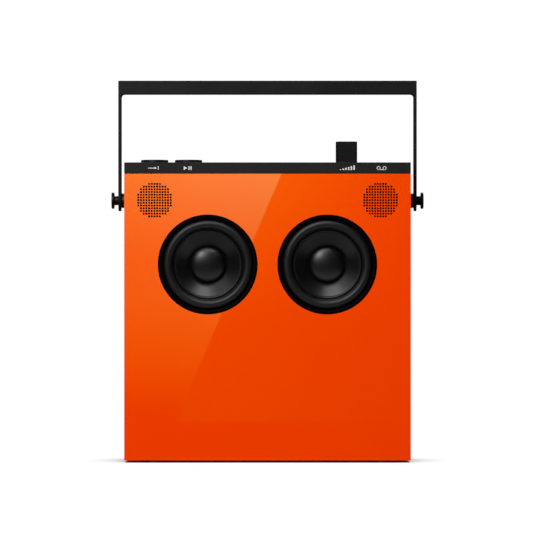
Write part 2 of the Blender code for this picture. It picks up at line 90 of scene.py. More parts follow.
BAFFLE_LOW, BAFFLE_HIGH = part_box("front_baffle")
SHELL_LOW, SHELL_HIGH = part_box("cabinet_shell")
COVER_LOW, COVER_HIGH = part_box("rear_cover")
PANEL_LOW, PANEL_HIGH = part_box("top_panel")
HANDLE_LOW, HANDLE_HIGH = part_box("handle")
PIVOT_Z = middle("thumb_knob_left").z


# Meshes


def placed(name, data):
    obj = bpy.data.objects.new(name, data)
    bpy.context.scene.collection.objects.link(obj)
    return obj


def rounded(points, loop=False, steps=4):
    """A flat path with rounded corners. A point is (a, b), or (a, b, radius) where its corner is round."""
    path = []
    count = len(points)
    for i, point in enumerate(points):
        here = Vector(point[:2])
        radius = point[2] if len(point) > 2 else 0
        if not radius or (not loop and i in (0, count - 1)):
            path.append(here)
            continue
        before = (Vector(points[i - 1][:2]) - here).normalized()
        after = (Vector(points[(i + 1) % count][:2]) - here).normalized()
        half = before.angle(after) / 2
        centre = here + (before + after).normalized() * radius / math.sin(half)
        reach = radius / math.tan(half)
        first, last = here + before * reach - centre, here + after * reach - centre
        sweep = math.pi - 2 * half
        for j in range(steps + 1):
            share = j / steps
            blend = first * math.sin((1 - share) * sweep) + last * math.sin(share * sweep)
            path.append(centre + blend / math.sin(sweep))
    return [(p.x, p.y) for p in path]


def circle(x, y, radius, sides):
    angles = [FULL_TURN * i / sides for i in range(sides)]
    return [(x + radius * math.cos(a), y + radius * math.sin(a)) for a in angles]


def lathe_form(profile, steps=144, loop=False):
    """Turned about Z from a clockwise (radius, height) profile, from axis to axis or a loop."""
    form = bmesh.new()
    points = [form.verts.new((radius, 0, height)) for radius, height in profile]
    pairs = list(zip(points, points[1:]))
    if loop:
        pairs.append((points[-1], points[0]))
    edges = [form.edges.new(pair) for pair in pairs]
    bmesh.ops.spin(
        form, geom=points + edges, cent=(0, 0, 0), axis=Z_AXIS, angle=FULL_TURN, steps=steps, use_merge=True
    )
    bmesh.ops.remove_doubles(form, verts=form.verts, dist=1e-7)
    bmesh.ops.recalc_face_normals(form, faces=form.faces)
    return form


def block_form(low, high):
    form = bmesh.new()
    low, high = Vector(low), Vector(high)
    place = Matrix.Translation((low + high) / 2) @ Matrix.Diagonal((*(high - low), 1))
    bmesh.ops.create_cube(form, size=1, matrix=place)
    return form


def rod_form(radius, start, end, sides=64):
    """A cylinder between two points."""
    start, end = Vector(start), Vector(end)
    turn = Z_AXIS.rotation_difference(end - start).to_matrix().to_4x4()
    form = bmesh.new()
    bmesh.ops.create_cone(
        form,
        cap_ends=True,
        segments=sides,
        radius1=radius,
        radius2=radius,
        depth=(end - start).length,
        matrix=Matrix.Translation((start + end) / 2) @ turn,
    )
    return form


def plate_form(outlines, thickness, matrix):
    """A flat plate from closed outlines in its own XY plane, the first its edge and the rest its holes."""
    curve = bpy.data.curves.new("outline", "CURVE")
    curve.dimensions = "2D"
    curve.fill_mode = "BOTH"
    curve.extrude = thickness / 2
    for outline in outlines:
        spline = curve.splines.new("POLY")
        spline.points.add(len(outline) - 1)
        for point, (x, y) in zip(spline.points, outline):
            point.co = (x, y, 0, 1)
        spline.use_cyclic_u = True
    drawn = placed("outline", curve)
    graph = bpy.context.evaluated_depsgraph_get()
    mesh = bpy.data.meshes.new_from_object(drawn.evaluated_get(graph))
    bpy.data.objects.remove(drawn)
    bpy.data.curves.remove(curve)
    form = bmesh.new()
    form.from_mesh(mesh)
    bpy.data.meshes.remove(mesh)
    bmesh.ops.remove_doubles(form, verts=form.verts, dist=1e-6)
    bmesh.ops.transform(form, matrix=matrix, verts=form.verts)
    bmesh.ops.recalc_face_normals(form, faces=form.faces)
    return form


def standing(x, y, z):
    """Takes a plate's own X to +X and its Y to +Z, and puts it at a place."""
    return Matrix.Translation((x, y, z)) @ Matrix.Rotation(QUARTER, 4, "X")


def sideways(x, y, z):
    """Takes a plate's own X to +Y and its Y to +Z, and puts it at a place."""
    turn = Matrix.Rotation(QUARTER, 4, "Z") @ Matrix.Rotation(QUARTER, 4, "X")
    return Matrix.Translation((x, y, z)) @ turn


def helper(form):
    mesh = bpy.data.meshes.new("helper")
    form.to_mesh(mesh)
    form.free()
    return placed("helper", mesh)


def combined(base, operation, *others):
    """The base form after a Boolean with each of the others. All are used up."""
    body = helper(base)
    tools = [helper(other) for other in others]
    for tool in tools:
        step = body.modifiers.new("step", "BOOLEAN")
        step.operation = operation
        step.solver = "EXACT"
        step.object = tool
    graph = bpy.context.evaluated_depsgraph_get()
    mesh = bpy.data.meshes.new_from_object(body.evaluated_get(graph))
    form = bmesh.new()
    form.from_mesh(mesh)
    for obj in (body, *tools):
        data = obj.data
        bpy.data.objects.remove(obj)
        bpy.data.meshes.remove(data)
    bpy.data.meshes.remove(mesh)
    bmesh.ops.remove_doubles(form, verts=form.verts, dist=1e-6)
    return form


def soften(form, width, segments=2, least=40, keep=None):
    """Rounds the edges that turn by more than some degrees, or those of them that keep() accepts."""
    form.normal_update()
    sharp = math.radians(least)
    edges = [e for e in form.edges if len(e.link_faces) == 2 and e.calc_face_angle(0) > sharp]
    if keep:
        edges = [e for e in edges if keep(e)]
    bevel = {"offset": width, "offset_type": "OFFSET", "segments": segments, "profile": 0.5}
    bmesh.ops.bevel(form, geom=edges, affect="EDGES", clamp_overlap=True, **bevel)
    return form


def place_on(axis, origin):
    """The matrix that takes Z to an axis and the origin to a place."""
    return Matrix.Translation(origin) @ Z_AXIS.rotation_difference(axis).to_matrix().to_4x4()


def piece(name, form, finish, body, replaced=(), matrix=None, flat=Z_AXIS, sharp=35):
    """A finished piece. Faces across the flat direction are shaded flat, and the rest smooth."""
    mesh = bpy.data.meshes.new(name)
    form.to_mesh(mesh)
    form.free()
    mesh.materials.append(finish)
    mesh.shade_smooth()
    mesh.set_sharp_from_angle(angle=math.radians(sharp))
    for face in mesh.polygons:
        if abs(face.normal.dot(flat)) > 0.99999:
            face.use_smooth = False
    obj = placed(name, mesh)
    if matrix is not None:
        obj.matrix_world = matrix
    normals = obj.modifiers.new("normals", "WEIGHTED_NORMAL")
    normals.keep_sharp = True
    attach(obj, body)
    if replaced:
        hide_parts(*replaced)


def turned(name, profile, finish, body, replaced, axis, origin, steps=144, loop=False):
    """A piece turned about an axis through a place."""
    form = lathe_form(rounded(profile, loop), steps, loop)
    piece(name, form, finish, body, replaced, place_on(axis, origin))


# Materials


class Finish:
    """A Principled material with short calls for the procedural detail on it."""

    def __init__(self, name, colour, roughness, **values):
        self.material = bpy.data.materials.new(name)
        self.material.use_nodes = True
        self.tree = self.material.node_tree
        self.shader = self.tree.nodes["Principled BSDF"]
        self.colour = colour
        self.set("Base Color", (*colour, 1))
        self.set("Roughness", roughness)
        for key, value in values.items():
            self.set(key.replace("_", " ").title().replace("Ior", "IOR"), value)
        self.material.diffuse_color = (*colour, 1)

    def set(self, socket, value):
        self.shader.inputs[socket].default_value = value

    def fill(self, socket, value):
        """Links a socket to another one, or gives it a value."""
        if isinstance(value, bpy.types.NodeSocket):
            self.tree.links.new(value, socket)
        else:
            socket.default_value = value

    def node(self, kind, **inputs):
        made = self.tree.nodes.new(kind)
        for key, value in inputs.items():
            self.fill(made.inputs[key.replace("_", " ").title()], value)
        return made

    def math(self, operation, first, second):
        made = self.tree.nodes.new("ShaderNodeMath")
        made.operation = operation
        self.fill(made.inputs[0], first)
        self.fill(made.inputs[1], second)
        return made.outputs["Value"]

    def place(self, stretch=(1, 1, 1)):
        """The object's own coordinates, stretched."""
        coordinates = self.tree.nodes.new("ShaderNodeTexCoord")
        mapping = self.tree.nodes.new("ShaderNodeMapping")
        mapping.inputs["Scale"].default_value = stretch
        self.tree.links.new(coordinates.outputs["Object"], mapping.inputs["Vector"])
        return mapping.outputs["Vector"]

    def noise(self, scale, detail=2.0, stretch=(1, 1, 1)):
        made = self.node("ShaderNodeTexNoise", vector=self.place(stretch), scale=scale, detail=detail)
        return made.outputs["Fac"]

    def cells(self, scale):
        made = self.node("ShaderNodeTexVoronoi", vector=self.place(), scale=scale)
        return made.outputs["Distance"]

    def waves(self, scale, kind="BANDS", direction="X", distortion=0.0):
        """Even bands, or rings about Z, a number of them to the metre."""
        spacing = scale * math.pi / 10
        made = self.node("ShaderNodeTexWave", vector=self.place(), scale=spacing, distortion=distortion)
        made.wave_type = kind
        if kind == "BANDS":
            made.bands_direction = direction
        else:
            made.rings_direction = direction
        return made.outputs["Fac"]

    def vary_colour(self, pattern, other, low=0.3, high=0.7):
        """Mixes in another colour where the pattern is high."""
        ramp = self.tree.nodes.new("ShaderNodeValToRGB")
        ramp.color_ramp.elements[0].position = low
        ramp.color_ramp.elements[0].color = (*self.colour, 1)
        ramp.color_ramp.elements[1].position = high
        ramp.color_ramp.elements[1].color = (*other, 1)
        self.tree.links.new(pattern, ramp.inputs["Fac"])
        self.tree.links.new(ramp.outputs["Color"], self.shader.inputs["Base Color"])
        return self

    def bare_inside(self, low, high):
        """Leaves bare black plastic inside the holes: within a box, by its lowest and highest corners."""
        axes = self.node("ShaderNodeSeparateXYZ", vector=self.place())
        inside = 1.0
        for axis, least, most in zip("XYZ", low, high):
            past = self.math("GREATER_THAN", axes.outputs[axis], least)
            short = self.math("LESS_THAN", axes.outputs[axis], most)
            inside = self.math("MULTIPLY", inside, self.math("MULTIPLY", past, short))
        painted = self.tree.nodes["Color Ramp"].outputs["Color"]
        mix = self.tree.nodes.new("ShaderNodeMix")
        mix.data_type = "RGBA"
        self.tree.links.new(inside, mix.inputs["Factor"])
        self.tree.links.new(painted, mix.inputs[6])
        mix.inputs[7].default_value = (0.004, 0.004, 0.004, 1)
        self.tree.links.new(mix.outputs[2], self.shader.inputs["Base Color"])

    def vary_roughness(self, pattern, low, high):
        ends = {"from_min": 0.3, "from_max": 0.7, "to_min": low, "to_max": high}
        made = self.node("ShaderNodeMapRange", value=pattern, **ends)
        self.tree.links.new(made.outputs["Result"], self.shader.inputs["Roughness"])
        return self

    def bump(self, pattern, height, coat=False):
        """Raises the surface by the pattern, up to a height in metres."""
        made = self.node("ShaderNodeBump", height=pattern, distance=height)
        self.tree.links.new(made.outputs["Normal"], self.shader.inputs["Coat Normal" if coat else "Normal"])
        return self


def gloss_orange():
    """Thick clear-coated paint: an even colour under a nearly flat coat."""
    coat = {"coat_weight": 1.0, "coat_roughness": 0.01, "coat_ior": 1.5}
    finish = Finish("gloss_orange", (0.90, 0.050, 0.0), 0.4, **coat)
    finish.set("Specular IOR Level", 0.0)
    finish.vary_colour(finish.noise(9, 3), (0.91, 0.051, 0.0))
    skin = Vector((0.001, 0.0004, 0.0006))
    outside_high = Vector((BAFFLE_HIGH.x, COVER_LOW.y, BAFFLE_HIGH.z))
    finish.bare_inside(BAFFLE_LOW + skin, outside_high - skin)
    finish.vary_roughness(finish.noise(60, 4), 0.36, 0.44)
    return finish.bump(finish.noise(160, 1), 0.0000006, coat=True).material


def mottled(name, colour, other, roughness, patterns, height, specular=0.5, **values):
    """Fine noise in a material's colour, roughness and relief, from a (scale, detail) for each."""
    finish = Finish(name, colour, sum(roughness) / 2, **values)
    finish.set("Specular IOR Level", specular)
    tint, wear, grain = [finish.noise(*pattern) for pattern in patterns]
    finish.vary_colour(tint, other)
    finish.vary_roughness(wear, *roughness)
    return finish.bump(grain, height).material


def satin_black(name, colour, low, high, grain=2600, height=0.000012, specular=0.5):
    """Moulded or powder-coated black with a fine even grain."""
    lighter = tuple(c * 1.35 for c in colour)
    patterns = ((grain / 3, 2), (45, 5), (grain, 2))
    return mottled(name, colour, lighter, (low, high), patterns, height, specular)


def rubber():
    colour, lighter = (0.020, 0.020, 0.020), (0.034, 0.034, 0.034)
    return mottled("foot_rubber", colour, lighter, (0.6, 0.8), ((700, 4), (90, 4), (1500, 3)), 0.00003)


def surround_rubber():
    colour, lighter = (0.0022, 0.0021, 0.0021), (0.0029, 0.0028, 0.0028)
    patterns = ((500, 3), (120, 3), (3000, 2))
    return mottled("surround_rubber", colour, lighter, (0.44, 0.50), patterns, 0.000006, 0.33)


def cone_skin():
    """Pressed cone material: satin, with very fine rings about the axis."""
    finish = Finish("cone_black", (0.0010, 0.0009, 0.0009), 0.36)
    finish.set("Specular IOR Level", 0.42)
    finish.vary_colour(finish.noise(400, 4), (0.0014, 0.0013, 0.0013))
    finish.vary_roughness(finish.noise(150, 3), 0.33, 0.39)
    return finish.bump(finish.waves(2200, "RINGS", "Z"), 0.0000015).material


def frame_black():
    finish = Finish("frame_black", (0.0005, 0.0005, 0.0005), 0.6)
    finish.set("Specular IOR Level", 0.04)
    finish.vary_colour(finish.noise(900, 3), (0.0009, 0.0009, 0.0009))
    finish.vary_roughness(finish.noise(200, 3), 0.55, 0.65)
    return finish.bump(finish.waves(1300, "RINGS", "Z"), 0.00002).material


def steel(name="steel", colour=(0.53, 0.53, 0.54)):
    """Plated steel with fine brushing along X."""
    finish = Finish(name, colour, 0.35, metallic=1.0)
    grain = finish.noise(900, 3, (0.06, 1, 1))
    finish.vary_colour(grain, tuple(c * 0.82 for c in colour))
    finish.vary_roughness(grain, 0.28, 0.42)
    return finish.bump(grain, 0.000008).material


def brass():
    finish = Finish("brass", (0.72, 0.50, 0.19), 0.3, metallic=1.0)
    rings = finish.waves(3000, "RINGS", "Z")
    finish.vary_colour(finish.noise(300, 3), (0.60, 0.40, 0.14))
    finish.vary_roughness(rings, 0.24, 0.36)
    return finish.bump(rings, 0.000004).material


def copper_winding():
    """Lacquered wire wound about the driver's axis."""
    finish = Finish("coil_copper", (0.66, 0.27, 0.11), 0.3, metallic=1.0)
    turns = finish.waves(5000, "BANDS", "Y")
    finish.vary_colour(turns, (0.36, 0.12, 0.05))
    finish.vary_roughness(turns, 0.25, 0.4)
    return finish.bump(turns, 0.00006).material


def ferrite():
    colour, lighter = (0.045, 0.045, 0.05), (0.075, 0.075, 0.08)
    return mottled("ferrite", colour, lighter, (0.5, 0.7), ((1200, 5), (300, 4), (2000, 4)), 0.00002)


def woven(name, colour, other, threads, height):
    """Cloth woven from threads along X and Z, a number of them to the metre."""
    finish = Finish(name, colour, 0.85, sheen_weight=0.2, sheen_roughness=0.5)
    weave = finish.math("MULTIPLY", *[finish.waves(threads, "BANDS", axis) for axis in "XZ"])
    finish.vary_colour(weave, other, 0.1, 0.8)
    finish.vary_roughness(finish.noise(200, 3), 0.75, 0.95)
    return finish.bump(weave, height).material


def foam():
    finish = Finish("gasket_foam", (0.028, 0.028, 0.028), 0.95)
    finish.vary_colour(finish.cells(1500), (0.05, 0.05, 0.05))
    finish.vary_roughness(finish.noise(300, 3), 0.9, 1.0)
    return finish.bump(finish.cells(1500), 0.0002).material


def circuit_board():
    """Green solder mask over a grid of tracks."""
    finish = Finish("circuit_board", (0.012, 0.115, 0.035), 0.4, coat_weight=0.4, coat_roughness=0.15)
    across, along = finish.waves(260, "BANDS", "X", 2.0), finish.waves(190, "BANDS", "Z", 2.0)
    tracks = finish.math("MULTIPLY", across, along)
    finish.vary_colour(tracks, (0.03, 0.22, 0.07), 0.45, 0.5)
    finish.vary_roughness(finish.noise(300, 3), 0.32, 0.45)
    return finish.bump(tracks, 0.00003).material


def battery_wrap():
    """Shrunk film with long shallow creases."""
    colour, lighter = (0.025, 0.075, 0.26), (0.035, 0.10, 0.32)
    patterns = ((30, 4), (80, 4), (40, 4, (0.3, 1, 1)))
    coat = {"coat_weight": 0.5, "coat_roughness": 0.1}
    return mottled("battery_wrap", colour, lighter, (0.28, 0.42), patterns, 0.0003, **coat)


def label_ink():
    finish = Finish("label_ink", (0.70, 0.70, 0.70), 0.6)
    finish.vary_colour(finish.noise(3000, 2), (0.64, 0.64, 0.64))
    return finish.vary_roughness(finish.noise(600, 2), 0.5, 0.7).material


ORANGE = gloss_orange()
PANEL_BLACK = satin_black("black_panel", (0.0090, 0.0078, 0.0081), 0.42, 0.50, specular=0.34)
HANDLE_BLACK = satin_black("handle_black", (0.0045, 0.0045, 0.0047), 0.38, 0.46, 3200, 0.000006, 0.34)
CONTROL_BLACK = satin_black("control_black", (0.006, 0.006, 0.0062), 0.30, 0.38, 3600, 0.000004)
DARK_PLASTIC = satin_black("tweeter_black", (0.003, 0.003, 0.003), 0.6, 0.7)
FOOT_RUBBER = rubber()
SURROUND_RUBBER = surround_rubber()
CONE_BLACK = cone_skin()
FRAME_BLACK = frame_black()
STEEL = steel()
SCREW_BLACK = steel("screw_black", (0.05, 0.05, 0.052))
BRASS = brass()
LABEL_INK = label_ink()


# Cabinet

EDGE = 0.00035  # the painted cabinet's edges
HOLE_RADIUS, HOLE_PITCH, HOLE_REACH = 0.00079, 0.00198, 42
OPENING_RADIUS = 0.0366
WALL = BAFFLE_HIGH.y - BAFFLE_LOW.y
CLEARANCE = 0.0003  # between pieces that fit together
SCREW_BORE = 0.0015
PLATE_FLANGE, PLATE_FACE = 0.003, 0.016  # the connector plate's hidden border, and its visible height


def beyond(axis, place):
    """Accepts the edges whose ends are both past a place along an axis."""
    return lambda edge: all(v.co[axis] > place for v in edge.verts)


def bore_form(radius, at, near, far, sides=64):
    """A rod from near to far along Y, through a place."""
    return rod_form(radius, (at.x, near, at.z), (at.x, far, at.z), sides)


def grille_centres(side):
    """The centres of one tweeter field's holes: a square grid that fills a circle."""
    centre = middle(f"tweeter_housing_{side}")
    reach = int(math.sqrt(HOLE_REACH))
    steps = range(-reach, reach + 1)
    near = [(i, j) for i in steps for j in steps if i * i + j * j <= HOLE_REACH]
    return [(centre.x + i * HOLE_PITCH, centre.z + j * HOLE_PITCH) for i, j in near]


def front_baffle():
    low, high = BAFFLE_LOW, BAFFLE_HIGH
    outline = [(low.x, low.z), (high.x, low.z), (high.x, high.z), (low.x, high.z)]
    holes, openings = [], []
    for side in SIDES:
        centre = middle(f"woofer_cone_{side}")
        openings.append(centre)
        holes.append(circle(centre.x, centre.z, OPENING_RADIUS, 192))
        holes += [circle(x, z, HOLE_RADIUS, 14) for x, z in grille_centres(side)]
    form = plate_form([outline, *holes], WALL, standing(0, middle("front_baffle").y, 0))

    def rounds(edge):
        """The front edges of the plate and of its openings, but not the plate's upper edge."""
        points = [v.co for v in edge.verts]
        at_front = all(p.y < low.y + 0.0001 for p in points)
        at_top = all(p.z > high.z - 0.0001 for p in points)
        upright = abs(points[0].z - points[1].z) > 0.1 * (high.z - low.z) and not at_front
        return (at_front or upright) and not at_top

    def near_woofer(edge):
        at = edge.verts[0].co
        return any(math.hypot(at.x - c.x, at.z - c.z) < OPENING_RADIUS * 1.02 for c in openings)

    def grille(edge):
        return edge.calc_length() < 3 * HOLE_RADIUS and rounds(edge) and not near_woofer(edge)

    soften(form, 0.00006, 1, keep=grille)
    soften(form, EDGE, 3, least=60, keep=lambda e: rounds(e) and (near_woofer(e) or e.calc_length() > 0.05))
    piece("baffle", form, ORANGE, BODY, ["front_baffle"], flat=Y_AXIS)


def cabinet_shell():
    """The side walls and the floor, with the posts for the rear screws."""
    low, high = SHELL_LOW, SHELL_HIGH
    inner, floor = high.x - WALL, low.z + WALL
    corner = 0.0006
    outside = [(low.x, low.z, corner), (high.x, low.z, corner), (high.x, high.z)]
    inside = [(inner, high.z), (inner, floor, 0.002), (-inner, floor, 0.002), (-inner, high.z)]
    outline = rounded([*outside, *inside, (low.x, high.z)], loop=True)
    form = plate_form([outline], high.y - low.y, standing(0, (low.y + high.y) / 2, 0))
    soften(form, EDGE, 3, least=60)
    posts, bores = [], []
    for name in screw_names():
        head = middle(name)
        sign = math.copysign(1, head.x)
        back = COVER_LOW.y - CLEARANCE
        half = 0.0045
        x = sorted((head.x - sign * half, sign * (inner + WALL / 2)))
        posts.append(block_form((x[0], back - 0.015, head.z - half), (x[1], back, head.z + half)))
        bores.append(bore_form(SCREW_BORE, head, back - 0.012, back + 0.001, 24))
    form = combined(form, "UNION", *posts)
    pivot_holes = [
        rod_form(0.0048, (sign * (inner - 0.002), 0, PIVOT_Z), (sign * (high.x + 0.002), 0, PIVOT_Z), 48)
        for sign in SIDES.values()
    ]
    form = combined(form, "DIFFERENCE", *bores, *pivot_holes)
    piece("shell", form, ORANGE, BODY, ["cabinet_shell"], flat=X_AXIS)


def screw_names():
    return [f"rear_screw_{side}_{row}" for side in SIDES for row in ("low", "high")]


def rear_cover():
    low, high = COVER_LOW, COVER_HIGH
    form = block_form(low, high)
    cutters = []
    for name in screw_names():
        at = middle(name)
        cutters.append(bore_form(SCREW_BORE, at, low.y - 0.001, high.y + 0.001, 24))
        cutters.append(bore_form(0.0031, at, high.y - 0.0022, high.y + 0.001, 48))
    plate_low, plate_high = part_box("connector_plate")
    centre = (plate_low + plate_high) / 2
    width = plate_high.x - plate_low.x - 2 * PLATE_FLANGE
    window = rounded_rectangle(width + 2 * CLEARANCE, PLATE_FACE + 2 * CLEARANCE, 0.0015)
    cutters.append(plate_form([window], 0.02, standing(centre.x, high.y, centre.z)))
    form = combined(form, "DIFFERENCE", *cutters)
    soften(form, 0.0003, 2, least=60, keep=beyond(1, high.y - 0.0001))
    piece("cover", form, ORANGE, BODY, ["rear_cover"], flat=Y_AXIS)


def rounded_rectangle(width, height, radius, steps=6):
    x, y = width / 2, height / 2
    corners = [(x, y, radius), (-x, y, radius), (-x, -y, radius), (x, -y, radius)]
    return rounded(corners, loop=True, steps=steps)


def rear_screws():
    """Countersunk machine screws with hexagon sockets."""
    for name in screw_names():
        low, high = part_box(name)
        at = middle(name)
        head, under, shank, tip, socket = 0.0028, -0.0015, 0.0012, low.y - high.y, 0.0014
        profile = [(0, 0), (head, 0, 0.0004), (head, under), (shank, under), (shank, tip, 0.0003), (0, tip)]
        form = lathe_form(rounded(profile), 64)
        hexagon = rod_form(socket, (0, 0, -0.0011), (0, 0, 0.001), 6)
        form = combined(form, "DIFFERENCE", hexagon)
        origin = (at.x, high.y, at.z)
        piece(name + "_head", form, SCREW_BLACK, BODY, [name], place_on(Y_AXIS, origin))


def feet():
    """Round rubber pads with a raised ring underneath."""
    for name in [f"foot_{end}_{side}" for end in ("front", "rear") for side in SIDES]:
        low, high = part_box(name)
        at = middle(name)
        radius, height = (high.x - low.x) / 2, high.z - low.z
        ring, groove = radius * 0.62, 0.0004
        profile = [(0, height), (radius - 0.0002, height, 0.0001), (radius, 0.0006)]
        profile += [(radius - 0.0002, 0, 0.0002), (ring, 0, 0.0001)]
        profile += [(ring - groove, groove, 0.0001), (0, groove)]
        origin = (at.x, at.y, low.z)
        turned(name + "_pad", profile, FOOT_RUBBER, BODY, [name], Z_AXIS, origin, 96)


# Top panel and controls

LABEL_RELIEF = 0.00005
CONTROLS = {"input": "input_button", "play": "play_button", "volume": "volume_knob", "tape": "tape_dial"}


def top_panel():
    """The cap over the cabinet, with round wells for the controls."""
    low, high = PANEL_LOW.copy(), PANEL_HIGH.copy()
    low.y += LABEL_RELIEF
    wall = 0.0025
    form = block_form(low, high)
    far_corner = (high.x - wall, high.y - wall, high.z - wall)
    hollow = block_form((low.x + wall, low.y + wall, low.z - 0.002), far_corner)
    wells = []
    for node, radius in zip(CONTROLS.values(), (0.0104, 0.0104, 0.0035, 0.0149)):
        x = axis_x(node)
        wells.append(rod_form(radius, (x, 0, high.z - 0.006), (x, 0, high.z + 0.002), 128))
    form = combined(form, "DIFFERENCE", hollow, *wells)
    soften(form, 0.0003, 3, least=60, keep=beyond(2, high.z - 0.003))
    piece("top_cap", form, PANEL_BLACK, BODY, ["top_panel"])


def axis_x(node):
    """Where a top control's upright axis stands."""
    joints = {j["child"]: j for j in frame["joints"]}
    own = {"volume_knob": "volume_control", "tape_dial": "tape_dial"}
    if node in own:
        return joints[own[node]]["pos_m"][0]
    return middle(node).x


def buttons():
    """Round caps with a shallow dish on top, over a retaining flange and a plunger."""
    for node in ("input_button", "play_button"):
        low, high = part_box(node)
        radius, top, dish, plunger = 0.0101, high.z, 0.0005, 0.0022
        flange_top, flange_bottom, flange = 0.2172, 0.2158, (high.x - low.x) / 2
        profile = [(0, top - dish), (radius * 0.45, top - dish * 0.8), (radius * 0.8, top - dish * 0.3)]
        profile += [(radius - 0.0009, top), (radius, top, 0.0005), (radius, flange_top)]
        profile += [(flange, flange_top, 0.0002), (flange, flange_bottom, 0.0002)]
        profile += [(plunger, flange_bottom), (plunger, low.z, 0.0003), (0, low.z)]
        origin = (middle(node).x, 0, 0)
        turned(node + "_cap", profile, CONTROL_BLACK, node, [node], Z_AXIS, origin)


def volume_knob():
    """A tall knob with one flat, turned a few degrees off the front."""
    low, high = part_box("volume_knob")
    x = axis_x("volume_knob")
    radius, flat, turn = 0.00795, 0.00475, math.radians(3)
    bore, bore_top = 0.0033, 0.2313
    outside = [(0, high.z), (radius, high.z, 0.0003), (radius, low.z, 0.0002)]
    form = lathe_form(rounded([*outside, (bore, low.z), (bore, bore_top), (0, bore_top)]), 160)
    reach = 0.03
    facet = block_form((-reach, -flat - reach, low.z - 0.01), (reach, -flat, high.z + 0.01))
    bmesh.ops.rotate(facet, verts=facet.verts, matrix=Matrix.Rotation(turn, 3, "Z"))
    form = combined(form, "DIFFERENCE", facet)
    soften(form, 0.00025, 3, least=25, keep=lambda e: on_facet(e, flat, turn))
    matrix = Matrix.Translation((x, 0, 0))
    piece("volume_cap", form, CONTROL_BLACK, "volume_control", ["volume_knob"], matrix)


def on_facet(edge, flat, turn):
    normal = Vector((math.sin(turn), -math.cos(turn), 0))
    return all(abs(v.co.dot(normal) - flat) < 0.00002 for v in edge.verts)


def tape_dial():
    """A flush dial with fine grooves on its face and a finger dimple near its rim."""
    low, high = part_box("tape_dial")
    radius = (high.x - low.x) / 2
    bore, bore_top = 0.0023, 0.2189
    groove, depth = 0.0003, 0.00012
    profile = [(0, high.z), (0.0028, high.z)]
    for i in range(1, 12):
        at = 0.0028 + i * 0.00095
        profile += [(at - groove, high.z), (at - groove / 2, high.z - depth), (at, high.z)]
    profile += [(radius, high.z, 0.0002), (radius, low.z, 0.0002)]
    profile += [(bore, low.z), (bore, bore_top), (0, bore_top)]
    form = lathe_form(rounded(profile), 160)
    dimple = bmesh.new()
    ball = 0.008
    bmesh.ops.create_uvsphere(dimple, u_segments=64, v_segments=48, radius=ball)
    bmesh.ops.translate(dimple, verts=dimple.verts, vec=(0, -0.0090, high.z + ball - 0.0009))
    form = combined(form, "DIFFERENCE", dimple)
    matrix = Matrix.Translation((axis_x("tape_dial"), 0, 0))
    piece("dial_face", form, CONTROL_BLACK, "tape_dial", ["tape_dial"], matrix)


def ring_outline(x, y, radius, width):
    return [circle(x, y, radius, 40), circle(x, y, radius - width, 40)]


def bar(x0, y0, x1, y1):
    return [(x0, y0), (x1, y0), (x1, y1), (x0, y1)]


def labels():
    """Generic signs: an arrow into a bar, a triangle with two bars, rising bars, and two reels."""
    tall, line = 0.0014, 0.0005
    head = [(0.0008, -tall * 0.7), (0.0024, 0), (0.0008, tall * 0.7)]
    arrow = [(-0.0039, -line / 2), (0.0008, -line / 2), *head, (0.0008, line / 2), (-0.0039, line / 2)]
    triangle = [(-0.0029, -tall), (-0.0003, 0), (-0.0029, tall)]
    rises = [(0.002 * i - 0.0056, tall * (i / 2.5 - 1) + line) for i in range(6)]
    signs = {
        "input": [[arrow], [bar(0.0033, -tall, 0.0033 + line, tall)]],
        "play": [[triangle]] + [[bar(x, -tall, x + 1.6 * line, tall)] for x in (0.0006, 0.0021)],
        "volume": [[bar(x, -tall, x + 0.0011, top)] for x, top in rises],
        "tape": [ring_outline(x, 0, tall, line) for x in (-0.0022, 0.0022)]
        + [[bar(-0.0022, -tall, 0.0022, line - tall)]],
    }
    z = (PANEL_LOW.z + PANEL_HIGH.z) / 2 - 0.0002
    print_depth = LABEL_RELIEF + 0.00004  # the print reaches a little way into the panel
    for label, node in CONTROLS.items():
        for i, outlines in enumerate(signs[label]):
            matrix = standing(axis_x(node), PANEL_LOW.y + print_depth / 2, z)
            form = plate_form(outlines, print_depth, matrix)
            piece(f"sign_{label}_{i}", form, LABEL_INK, BODY, flat=Y_AXIS)


# Drivers

SURROUND_INNER, SURROUND_OUTER, SURROUND_BASE, SURROUND_RISE = 0.0257, 0.0331, 0.0249, 0.0035
SECTORS = 12


def woofer_frame(side, origin):
    """The visible collar with its fine steps, and the basket behind it."""
    top = 0.0278
    steps = [
        (0.0336, top - 0.0006, 0.0002),
        (0.0343, top - 0.0006, 0.0001),
        (0.0344, top - 0.0002, 0.0001),
        (0.0350, top - 0.0002, 0.0001),
        (0.0351, top, 0.0001),
        (0.0359, top, 0.0004),
    ]
    flange = [(0.0359, 0.0244), (0.0415, 0.0244, 0.0003), (0.0415, 0.0229, 0.0003)]
    basket = [(0.0365, 0.0229, 0.001), (0.0240, 0.0050, 0.001), (0.0136, 0.0050), (0.0136, 0.0065)]
    inside = [(0.0230, 0.0065, 0.001), (0.0346, 0.0225), (0.0330, 0.0236), (0.0335, 0.0246)]
    profile = [(0.0335, 0.0262), *steps, *flange, *basket, *inside]
    name, node = f"frame_{side}", f"woofer_frame_{side}"
    turned(name, profile, FRAME_BLACK, BODY, [node], FORWARD, origin, loop=True)


